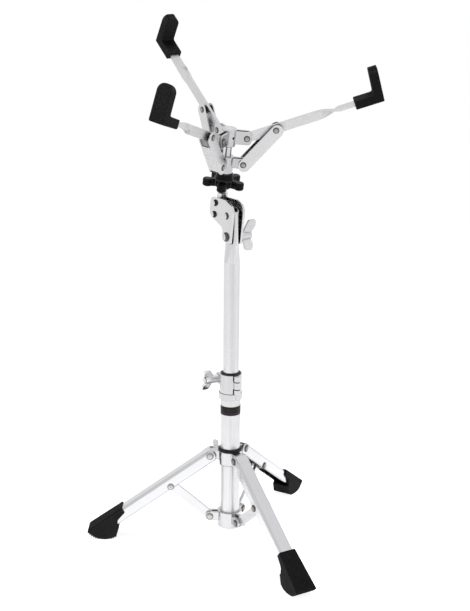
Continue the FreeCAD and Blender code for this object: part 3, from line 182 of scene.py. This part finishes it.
def moulded(name, base, worn_and_highlight_colour, low, high, grain, depth, edge, dust, gloss, shine, pebble, lit_side_colour):
    """Black moulded plastic or rubber: fine grain, uneven sheen, paler edges from wear and a painted
    highlight, sides painted paler than tops as painted light, and a little dust.
    """
    s = Shader(name)
    slow = s.noise(40.0, 3.0)
    fine = s.noise(grain, 3.0, 0.6)
    smear = s.noise(1.0, 3.0, coords=s.stretched((160.0, 160.0, 60.0)))
    normal, edge_share = s.rounded(edge)
    specks = s.span(s.noise(1400.0, 2.0, 0.7), 0.66, 0.74, 0.0, 1.0)
    up = s.upward(s.flat())
    settled = s.math("MULTIPLY", s.math("MULTIPLY", specks, s.span(up, 0.2, 0.9, 0.0, 1.0)), dust)
    # Painted light: sides take the paler side colour, faces turned upwards the darker base.
    colour = s.mix(s.span(slow, 0.3, 0.7, 0.0, 1.0), lit_side_colour, tuple(channel * 1.4 for channel in lit_side_colour))
    colour = s.mix(s.span(up, 0.25, 0.6, 0.0, 1.0), colour, base)
    # Paler edges: partly wear, partly a painted highlight.
    colour = s.mix(s.math("MULTIPLY", edge_share, s.span(smear, 0.35, 0.65, 0.2, 0.75)), colour, worn_and_highlight_colour)
    colour = s.mix(s.span(s.noise(1300.0, 3.0, 0.6), 0.42, 0.7, 0.0, pebble), colour, (0.075, 0.075, 0.077))
    colour = s.mix(settled, colour, (0.3, 0.29, 0.28))
    rough = s.math("ADD", s.span(smear, 0.3, 0.7, low, high), s.math("MULTIPLY", settled, 0.3))
    return s.set(Base_Color=colour, Roughness=rough, Normal=s.bump(fine, depth, normal),
                 Specular_IOR_Level=s.span(edge_share, 0.1, 0.9, gloss, gloss + shine))


def band(name, bottom, height):
    """Plain satin band: dark brown, with a finer dark edge stripe below and faint handling marks."""
    s = Shader(name)
    share = s.span(s.upward(s.object), bottom, bottom + height, 0.0, 1.0)
    slow = s.noise(90.0, 4.0, 0.6)
    streak = s.noise(1.0, 3.0, coords=s.stretched((500.0, 500.0, 60.0)))
    colour = s.mix(s.span(slow, 0.3, 0.7, 0.0, 1.0), (0.012, 0.009, 0.008), (0.03, 0.023, 0.021))
    low_edge = s.span(share, 0.24, 0.20, 0.0, 1.0)
    colour = s.mix(low_edge, colour, (0.016, 0.015, 0.024))
    line = s.math("MULTIPLY", s.span(share, 0.17, 0.20, 0.0, 1.0), s.span(share, 0.27, 0.24, 0.0, 1.0))
    colour = s.mix(s.math("MULTIPLY", line, 0.5), colour, (0.09, 0.085, 0.1))
    rough = s.span(streak, 0.3, 0.7, 0.3, 0.45)
    normal = s.rounded(0.0002)[0]
    return s.set(Base_Color=colour, Roughness=rough, Normal=s.bump(streak, 0.00001, normal),
                 Specular_IOR_Level=0.15)


upright_lines = (60.0, 60.0, 5200.0)
low_band, high_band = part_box("badge_band")
# In the chrome finishes the corner, bend and underside settings paint shade into the colour, and an edge
# radius also gives edges a painted highlight.
finishes = {
    "upper_tube": chrome("upper_tube_chrome", (0.67, 0.67, 0.68), (0.71, 0.71, 0.72), 0.18, 0.27,
                         lines=upright_lines, streaks=0.45),
    "lower_tube": chrome("lower_tube_chrome", (0.65, 0.65, 0.66), (0.68, 0.68, 0.69), 0.3, 0.4,
                         lines=upright_lines, streaks=0.35),
    "leg": chrome("leg_chrome", (0.61, 0.61, 0.625), (0.65, 0.65, 0.665), 0.14, 0.22, edge=0.0007,
                  painted_under_shade=0.5, painted_bend_shade=0.3),
    "arm": chrome("arm_chrome", (0.63, 0.63, 0.64), (0.67, 0.67, 0.68), 0.36, 0.46, edge=0.0,
                  corner_shade_reach=0.0, painted_under_shade=0.35),
    "link": chrome("link_chrome", (0.63, 0.63, 0.64), (0.67, 0.67, 0.68), 0.15, 0.23, edge=0.0007,
                   corner_shade_tone=0.3, painted_under_shade=0.35),
    "cheek": chrome("cheek_chrome", (0.63, 0.63, 0.64), (0.67, 0.67, 0.68), 0.15, 0.23, edge=0.0007,
                    corner_shade_reach=0.011, corner_shade_tone=0.012, painted_under_shade=0.35),
    "cast": chrome("cast_chrome", (0.55, 0.55, 0.56), (0.62, 0.62, 0.63), 0.12, 0.22, edge=0.0008,
                   ripple=0.00003, corner_shade_reach=0.0032, corner_shade_tone=0.03, painted_under_shade=0.85, streaks=0.3),
    "collar": chrome("collar_chrome", (0.55, 0.55, 0.56), (0.62, 0.62, 0.63), 0.12, 0.22, edge=0.0022,
                     ripple=0.00003, corner_shade_reach=0.0032, corner_shade_tone=0.03, painted_under_shade=0.95, streaks=0.3),
    "hardware": chrome("hardware_chrome", (0.60, 0.60, 0.61), (0.66, 0.66, 0.67), 0.14, 0.24, edge=0.0008,
                       ripple=0.00003, corner_shade_reach=0.0022, painted_under_shade=0.7),
    "clamp_wing_nut": chrome("clamp_nut_chrome", (0.72, 0.72, 0.73), (0.80, 0.80, 0.81), 0.1, 0.2,
                             edge=0.0008, ripple=0.00003, corner_shade_reach=0.0022, painted_under_shade=0.85),
    "flush_rivet": rivet("flush_rivet_steel", (0.15, 0.135, 0.13), (0.335, 0.315, 0.308), 0.25, 0.42),
    "domed_rivet": rivet("domed_rivet_steel", (0.03, 0.027, 0.026), (0.33, 0.305, 0.29), 0.16, 0.3),
    # Lit copies of the rivet steel, worn by the heads on the left leg.
    "pale_rivet": rivet("pale_rivet_steel", (0.28, 0.265, 0.26), (0.53, 0.515, 0.512), 0.2, 0.35),
    "pale_rim": rivet("pale_rim_steel", (0.195, 0.19, 0.188), (0.33, 0.325, 0.322), 0.25, 0.42),
    "stud": rivet("stud_steel", (0.16, 0.155, 0.155), (0.66, 0.65, 0.65), 0.14, 0.26),
    # Painted shade and dark reflection: steels for the dark rings round heads and their centres.
    "shaded_rim": rivet("shaded_rim_steel", (0.05, 0.045, 0.043), (0.11, 0.1, 0.095), 0.25, 0.42),
    "rivet_rim": rivet("rivet_rim_steel", (0.012, 0.01, 0.0095), (0.035, 0.03, 0.028), 0.3, 0.5),
    "socket": rivet("socket_screw_steel", (0.01, 0.01, 0.01), (0.03, 0.03, 0.031), 0.3, 0.5),
    # The side colour paints light onto sides; the worn colour is edge wear and a painted highlight.
    "nylon": moulded("black_nylon", (0.0015, 0.0015, 0.0018), (0.06, 0.06, 0.064), 0.16, 0.28, grain=1500.0,
                     depth=0.00002, edge=0.0016, dust=0.1, gloss=0.09, shine=1.0, pebble=0.1,
                     lit_side_colour=(0.0018, 0.0018, 0.002)),
    "rubber": moulded("black_rubber", (0.0022, 0.0022, 0.0024), (0.022, 0.022, 0.024), 0.6, 0.8, grain=1100.0,
                      depth=0.00006, edge=0.0012, dust=0.06, gloss=0.03, shine=0.12, pebble=0.2,
                      lit_side_colour=(0.012, 0.0118, 0.0122)),
    "band": band("dark_band", low_band.z, high_band.z - low_band.z),
}
slot_finish = {
    "leg_chrome": "leg", "cast_chrome": "cast", "arm_chrome": "arm", "hardware_chrome": "hardware",
    "black_nylon": "nylon", "black_rubber": "rubber", "dark_band": "band",
}
flush_rivets = ("link_rivets_right", "link_rivets_front", "link_rivets_back", "arm_rivets")


def finish_of(node, slot):
    """Name of the finish that a node wears."""
    if slot == "tube_chrome":
        return node
    if node == "hub_set_screw":
        return "socket"
    if node == "clamp_wing_nut":
        return node
    if node == "leg_collar":
        return "collar"
    if node.startswith("tilter_cheek"):
        return "cheek"
    if node.startswith("link_") and slot == "arm_chrome":
        return "link"
    if slot == "rivet_steel":
        return "flush_rivet" if node in flush_rivets else "domed_rivet"
    return slot_finish[slot]


for subpart in frame["record"]["subparts"]:
    node = subpart["node"]
    mesh = nodes[node].data
    mesh.materials.clear()
    mesh.materials.append(finishes[finish_of(node, subpart["material_slot"])])


bodies = frame["record"]["behaviour"]["bodies"]
node_body = {node: body for body, members in bodies.items() for node in members}


def add_piece(name, verts, faces, wears, body):
    """A mesh that wears the named finishes and rides a body."""
    mesh = bpy.data.meshes.new(name)
    mesh.from_pydata([tuple(vert) for vert in verts], [], faces)
    for finish in wears:
        mesh.materials.append(finishes[finish])
    piece = bpy.data.objects.new(name, mesh)
    scene.collection.objects.link(piece)
    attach(piece, body)
    return mesh


def solids_of(node):
    """Points of each separate solid in a node."""
    mesh = nodes[node].data
    places = {}
    weld = []
    for vertex in mesh.vertices:
        key = tuple(round(value, 6) for value in nodes[node].matrix_world @ vertex.co)
        weld.append(places.setdefault(key, len(places)))
    parent = list(range(len(places)))

    def root(index):
        while parent[index] != index:
            parent[index] = parent[parent[index]]
            index = parent[index]
        return index

    for polygon in mesh.polygons:
        first = root(weld[polygon.vertices[0]])
        for other in polygon.vertices:
            parent[root(weld[other])] = first
    groups = {}
    for key, index in places.items():
        groups.setdefault(root(index), []).append(key)
    return [np.array(points) for points in groups.values()]


def pin_ends(points):
    """Both ends of a turned pin: crown, outward axis, head radius, head height and outline."""
    middle = points.mean(0)
    values, axes = np.linalg.eigh(np.cov((points - middle).T))
    apart = [min(abs(values[i] - values[j]) for j in range(3) if j != i) for i in range(3)]
    axis = axes[:, int(np.argmax(apart))]
    ends = []
    for side in (-1, 1):
        outward = axis * side
        along = (points - middle) @ outward
        across = np.linalg.norm((points - middle) - np.outer(along, outward), axis=1)
        near = along > along.max() - 0.006
        radius = across[near].max()
        base = along[near & (across > radius * 0.97)].min()
        spots = zip(across[near], along[near] - along.max())
        outline = []
        for reach, height in sorted(spots, key=lambda spot: (-spot[0], -spot[1])):
            if height < base - along.max():
                continue
            while len(outline) > 1 and (outline[-1][1] - outline[-2][1]) * (outline[-2][0] - reach) <= (
                    height - outline[-2][1]) * (outline[-2][0] - outline[-1][0]):
                outline.pop()
            outline.append((reach, height))
        outline.reverse()
        ends.append((middle + outward * along.max(), outward, radius, along.max() - base, outline))
    return ends


def turned(rings, place, axis, verts, faces, slots, numbers, count=32):
    """Adds rings of (radius, height, material) about an axis to lists of corners, faces and materials."""
    up = Vector(axis)
    side = up.orthogonal().normalized()
    other = up.cross(side)
    start = len(verts)
    for radius, height, slot in rings:
        for step in range(count):
            turn = step * math.tau / count
            spot = Vector(place) + up * height + (side * math.cos(turn) + other * math.sin(turn)) * radius
            verts.append(tuple(spot))
    for ring in range(len(rings) - 1):
        for step in range(count):
            after = (step + 1) % count
            low = start + ring * count
            high = low + count
            faces.append((low + step, low + after, high + after, high + step))
            slots.append(numbers[rings[ring][2]])
    last = start + (len(rings) - 1) * count
    faces.append(tuple(last + step for step in range(count)))
    slots.append(numbers[rings[-1][2]])


def dressed_heads(node, finish, edge, rim, dot=0.0, ends=2):
    """Covers on the heads of pins, with a dark rim up to a share of the radius as painted shade and dark
    reflection round the head, and a paler crown, on domed heads a painted highlight.

    A dot gives a small dark centre as painted shade, and paler heads on the left leg, a lit copy of the same
    steel. With one end, the wider head is dressed.
    """
    lift, skirt = 0.00012, 0.00045
    verts, faces, slots = [], [], []
    for points in solids_of(node):
        left = dot and points.mean(0)[0] < -0.015
        # Painted light: heads on the left leg wear the paler, lit copies of the steel.
        numbers = {"rim": 2, "crown": 3} if left else {"rim": 0, "crown": 1}
        widest_first = sorted(pin_ends(points), key=lambda end: -end[2])
        for place, axis, radius, height, outline in widest_first[:ends]:
            foot = -height + 0.00002
            # Painted shade: the rim rings reach past the head onto the plate as a dark ring.
            rings = [(radius + skirt, foot, "rim"), (radius + skirt, foot + 0.0003, "rim"),
                     (radius + 0.0002, foot + 0.0005, "rim")]
            reaches, heights = zip(*outline)
            for share in (0.97, 0.9, 0.8, 0.72, 0.6, 0.45, 0.3):
                cap = float(np.interp(radius * share, reaches, heights))
                rings.append((radius * share + lift * share, cap + lift, "rim" if share > rim else "crown"))
            # Painted shade: a small dark dot in the centre of the head.
            if dot:
                reach = radius * dot
                cap = float(np.interp(reach, reaches, heights))
                rings.append((reach, cap + lift, "rim"))
                rings.append((reach * 0.8, cap + lift * 0.5, "rim"))
            rings.append((radius * 0.06, lift * (0.4 if dot else 1.0), "rim" if dot else "crown"))
            turned(rings, place, axis, verts, faces, slots, numbers)
    wears = (edge, finish, "pale_rim", "pale_rivet") if dot else (edge, finish)
    mesh = add_piece(node + "_heads", verts, faces, wears, node_body[node])
    mesh.polygons.foreach_set("material_index", slots)
    mesh.polygons.foreach_set("use_smooth", [True] * len(faces))


for node in flush_rivets:
    dressed_heads(node, "flush_rivet", "shaded_rim", 0.75)
for node in ("hub_rivets", "collar_rivets", "leg_rivet_left", "leg_rivet_front", "leg_rivet_rear"):
    dressed_heads(node, "domed_rivet", "shaded_rim", 0.61, dot=0.2)
dressed_heads("tilter_rivets", "stud", "rivet_rim", 0.75)
dressed_heads("tilter_stop_pin", "stud", "shaded_rim", 0.85)
dressed_heads("tilter_bolt", "hardware", "shaded_rim", 0.85, ends=1)


leg_slope = math.radians(36.0)
pivot_reach, pivot_height = 0.029, 0.1319


def leg_axes(side):
    """A leg's outward and crosswise directions, its own directions along and above, and its top pivot."""
    low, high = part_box("leg_rivet_" + side)
    mid_rivet = (Vector(low) + Vector(high)) / 2
    out = Vector((mid_rivet.x, mid_rivet.y, 0)).normalized()
    across = Vector((-out.y, out.x, 0))
    along = out * math.cos(leg_slope) - Vector((0, 0, math.sin(leg_slope)))
    above = out * math.sin(leg_slope) + Vector((0, 0, math.cos(leg_slope)))
    pivot = out * pivot_reach + Vector((0, 0, pivot_height))
    return out, across, along, above, pivot


def leg_end_cap(side):
    """Sheet that carries a leg's top wall on over the collar's lug and round its pivot."""
    across, along, above, pivot = leg_axes(side)[1:]
    outer, inner, half = 0.00775, 0.0071, 0.0092
    edges = [(pivot + along * reach + above * outer, pivot + along * reach + above * inner)
             for reach in (0.0086, 0.0045, 0.0)]
    for step in range(1, 10):
        turn = math.radians(4.0 * step)
        way = above * math.cos(turn) - along * math.sin(turn)
        edges.append((pivot + way * outer, pivot + way * inner))
    verts, faces = [], []
    for top, bottom in edges:
        verts += [top - across * half, top + across * half, bottom + across * half, bottom - across * half]
    for step in range(len(edges) - 1):
        first = step * 4
        for corner in range(4):
            after = (corner + 1) % 4
            faces.append((first + corner, first + after, first + 4 + after, first + 4 + corner))
    faces.append((3, 2, 1, 0))
    last = len(verts) - 4
    faces.append((last, last + 1, last + 2, last + 3))
    add_piece("leg_end_cap_" + side, verts, faces, ("leg",), "leg_" + side)


def sole_teeth(side):
    """Taller teeth on the sole's own, towards the tip and the heel, where they clear the floor."""
    out, across, along, above, pivot = leg_axes(side)
    radius, pitch, land = 0.0315, 0.0034, 0.0019
    root, tip = radius - 0.0003, radius + 0.0009
    above_leg = 0.0095
    drop = pivot_height + above_leg * math.cos(leg_slope) - radius * math.cos(land / radius / 2)
    centre = pivot + along * (drop / math.sin(leg_slope)) + above * above_leg
    verts, faces = [], []
    for tooth in (8, 7, 6, 5, 4, 3, -3, -4, -5):
        middle = tooth * pitch / radius
        corners = []
        for share, reach in ((-0.45, root), (-0.3, tip), (0.3, tip), (0.45, root)):
            turn = middle + land * share / radius
            corners.append(centre + (out * math.sin(turn) - Vector((0, 0, math.cos(turn)))) * reach)
        reach_along = (corners[0] - centre).dot(along)
        half = 0.013 + 0.003 * (reach_along + 0.03) / 0.0615 - 0.0002
        first = len(verts)
        verts += [corner - across * half for corner in corners]
        verts += [corner + across * half for corner in corners]
        for corner in range(4):
            after = (corner + 1) % 4
            faces.append((first + corner, first + after, first + 4 + after, first + 4 + corner))
        faces.append((first + 3, first + 2, first + 1, first))
        faces.append((first + 4, first + 5, first + 6, first + 7))
    add_piece("sole_teeth_" + side, verts, faces, ("rubber",), "leg_" + side)


for side in ("left", "front", "rear"):
    leg_end_cap(side)
for side in ("left", "front", "rear"):
    sole_teeth(side)


def seen_or_lit(tree, seen, lit):
    """Joins two shaders: one for what the camera, metal and glass see, one for the light given off."""
    path = tree.nodes.new("ShaderNodeLightPath")
    share = path.outputs["Is Camera Ray"]
    for ray in ("Is Glossy Ray", "Is Transmission Ray"):
        larger = tree.nodes.new("ShaderNodeMath")
        larger.operation = "MAXIMUM"
        tree.links.new(share, larger.inputs[0])
        tree.links.new(path.outputs[ray], larger.inputs[1])
        share = larger.outputs["Value"]
    join = tree.nodes.new("ShaderNodeMixShader")
    tree.links.new(share, join.inputs["Fac"])
    tree.links.new(lit, join.inputs[1])
    tree.links.new(seen, join.inputs[2])
    return join.outputs["Shader"]


def make_world():
    world = bpy.data.worlds.new("studio")
    scene.world = world
    world.use_nodes = True
    tree = world.node_tree
    tree.nodes.clear()
    seen = tree.nodes.new("ShaderNodeBackground")
    seen.inputs["Color"].default_value = (1.0, 1.0, 1.0, 1.0)
    lit = tree.nodes.new("ShaderNodeBackground")
    lit.inputs["Color"].default_value = (1.0, 1.0, 1.0, 1.0)
    lit.inputs["Strength"].default_value = 0.3
    out = tree.nodes.new("ShaderNodeOutputWorld")
    shader = seen_or_lit(tree, seen.outputs["Background"], lit.outputs["Background"])
    tree.links.new(shader, out.inputs["Surface"])


def make_floor():
    """Large pale floor: it looks white, and its lit share keeps the soft shadows."""
    mesh = bpy.data.meshes.new("floor")
    count = 96
    reach = 9.0
    ring = [(reach * math.cos(i * math.tau / count), reach * math.sin(i * math.tau / count), 0.0)
            for i in range(count)]
    mesh.from_pydata(ring, [], [tuple(range(count))])
    floor = bpy.data.objects.new("floor", mesh)
    scene.collection.objects.link(floor)
    material = bpy.data.materials.new("floor_white")
    material.use_nodes = True
    tree = material.node_tree
    tree.nodes.clear()
    glow = tree.nodes.new("ShaderNodeEmission")
    glow.inputs["Strength"].default_value = 0.87
    matt = tree.nodes.new("ShaderNodeBsdfDiffuse")
    matt.inputs["Color"].default_value = (0.42, 0.42, 0.42, 1.0)
    both = tree.nodes.new("ShaderNodeAddShader")
    tree.links.new(glow.outputs["Emission"], both.inputs[0])
    tree.links.new(matt.outputs["BSDF"], both.inputs[1])
    pale = tree.nodes.new("ShaderNodeBsdfDiffuse")
    pale.inputs["Color"].default_value = (0.8, 0.8, 0.8, 1.0)
    out = tree.nodes.new("ShaderNodeOutputMaterial")
    shader = seen_or_lit(tree, both.outputs["Shader"], pale.outputs["BSDF"])
    tree.links.new(shader, out.inputs["Surface"])
    mesh.materials.append(material)


def area_light(name, place, target, size, power):
    """Square lamp that lights the part but isn't mirrored in it."""
    light = bpy.data.lights.new(name, "AREA")
    light.shape = "SQUARE"
    light.size = size
    light.energy = power
    lamp = bpy.data.objects.new(name, light)
    scene.collection.objects.link(lamp)
    aim = Vector(target) - Vector(place)
    lamp.location = place
    lamp.rotation_euler = aim.to_track_quat("-Z", "Y").to_euler()
    lamp.visible_glossy = False
    return lamp


def make_camera():
    """Camera at the photograph's place, with its pitch, slight roll and slight yaw."""
    distance, height = 1.6107, 0.82154
    pitch, roll, yaw = 0.281322, 0.010456, 0.00307
    ahead = Vector((math.sin(yaw) * math.cos(pitch), math.cos(yaw) * math.cos(pitch), -math.sin(pitch)))
    level = ahead.cross(Vector((0, 0, 1))).normalized()
    lift = level.cross(ahead)
    right = level * math.cos(roll) + lift * math.sin(roll)
    up = lift * math.cos(roll) - level * math.sin(roll)
    data = bpy.data.cameras.new("camera")
    data.sensor_width = 36.0
    data.sensor_fit = "AUTO"
    data.lens = 70.45
    camera = bpy.data.objects.new("camera", data)
    scene.collection.objects.link(camera)
    turn = Matrix((right, up, -ahead)).transposed().to_4x4()
    camera.matrix_world = Matrix.Translation((0.0, -distance, height)) @ turn
    scene.camera = camera


make_world()
make_floor()
top = area_light("top_softbox", (0.0, -0.05, 1.9), (0.0, 0.0, 0.0), 0.5, 3.5)
top.data.spread = math.radians(48.0)
area_light("left_softbox", (-2.2, -0.8, 1.1), (0.0, 0.0, 0.3), 1.3, 18.0)
area_light("right_softbox", (2.2, -0.6, 1.0), (0.0, 0.0, 0.3), 1.3, 20.0)
make_camera()
scene.view_settings.view_transform = "Standard"
